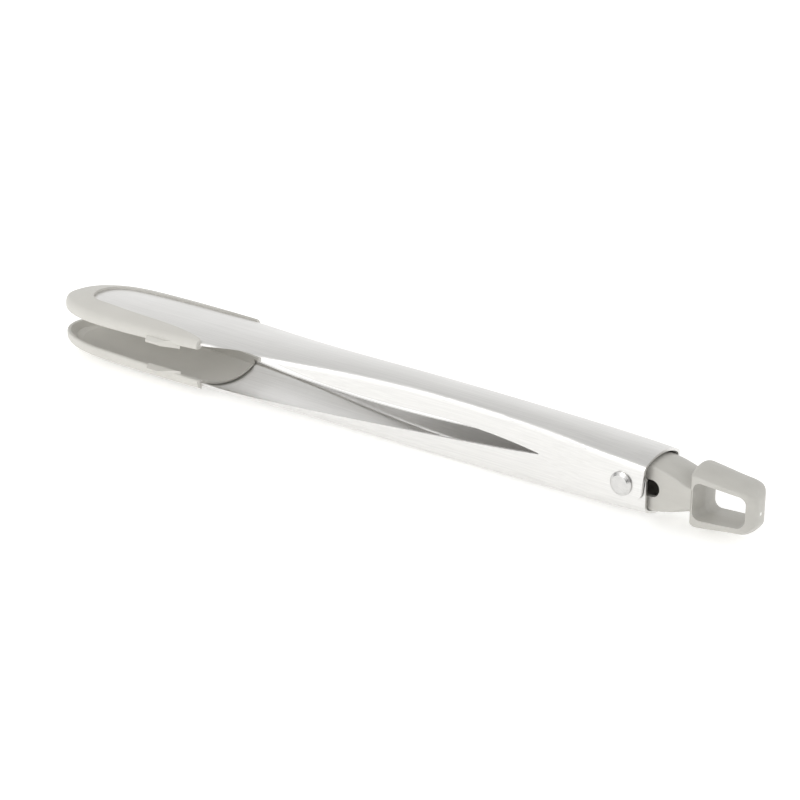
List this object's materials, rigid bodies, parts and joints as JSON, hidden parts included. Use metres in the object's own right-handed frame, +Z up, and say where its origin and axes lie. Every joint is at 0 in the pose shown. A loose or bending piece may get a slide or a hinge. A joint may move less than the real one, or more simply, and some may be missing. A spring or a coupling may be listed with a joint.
{
  "type": "spring loaded kitchen tongs",
  "caption": "Locking kitchen tongs: two sprung steel channel arms with silicone-edged heads, hinged on a rivet, and a sliding pull tab with a hanging loop.",
  "frame": {"origin": "centre of the footprint of the closed, locked tongs, on the surface they lie on", "axes": "+X along the tongs from the heads to the hanging loop, +Y along the pivot rivet, +Z up from the lower arm to the upper arm"},
  "size_m": [0.2653, 0.034, 0.022],
  "materials": {
    "stainless_steel": "brushed along the arm, satin",
    "rivet_steel": "polished",
    "spring_wire": "drawn wire",
    "silicone": "matt moulded silicone, light warm grey",
    "tab_plastic": "matt moulded nylon, light warm grey"
  },
  "bodies": {
    "lower_arm": {"lower_arm": "stainless_steel", "lower_head_cover": "silicone", "pivot_rivet": "rivet_steel", "rivet_cap": "rivet_steel", "torsion_spring": "spring_wire"},
    "upper_arm": {"upper_arm": "stainless_steel", "upper_head_cover": "silicone"},
    "pivot_sleeve": {"pivot_sleeve": "rivet_steel"},
    "lock_tab": {"lock_tab": "tab_plastic"}
  },
  "joints": [
    {"name": "arm_hinge", "type": "hinge", "parent": "lower_arm", "child": "upper_arm", "pos_m": [0.0942, 0, 0.011], "axis": [0, 1, 0], "range_deg": [-0.9, 23], "stiffness_Nm_per_rad": 0.35, "springref_deg": 80.21, "deforming": ["torsion_spring"]},
    {"name": "sleeve_turn", "type": "hinge", "parent": "lower_arm", "child": "pivot_sleeve", "pos_m": [0.0942, 0, 0.011], "axis": [0, 1, 0], "range_deg": [-0.5, 11.6]},
    {"name": "lock_slide", "type": "slide", "parent": "pivot_sleeve", "child": "lock_tab", "axis": [1, 0, 0], "range_m": [-0.0081, 0.0004]}
  ],
  "couplings": [
    {"joint": "sleeve_turn", "follows": "arm_hinge", "ratio": 0.5},
    {"joint": "lock_slide", "follows": "arm_hinge", "m_per_rad": -0.01993}
  ]
}
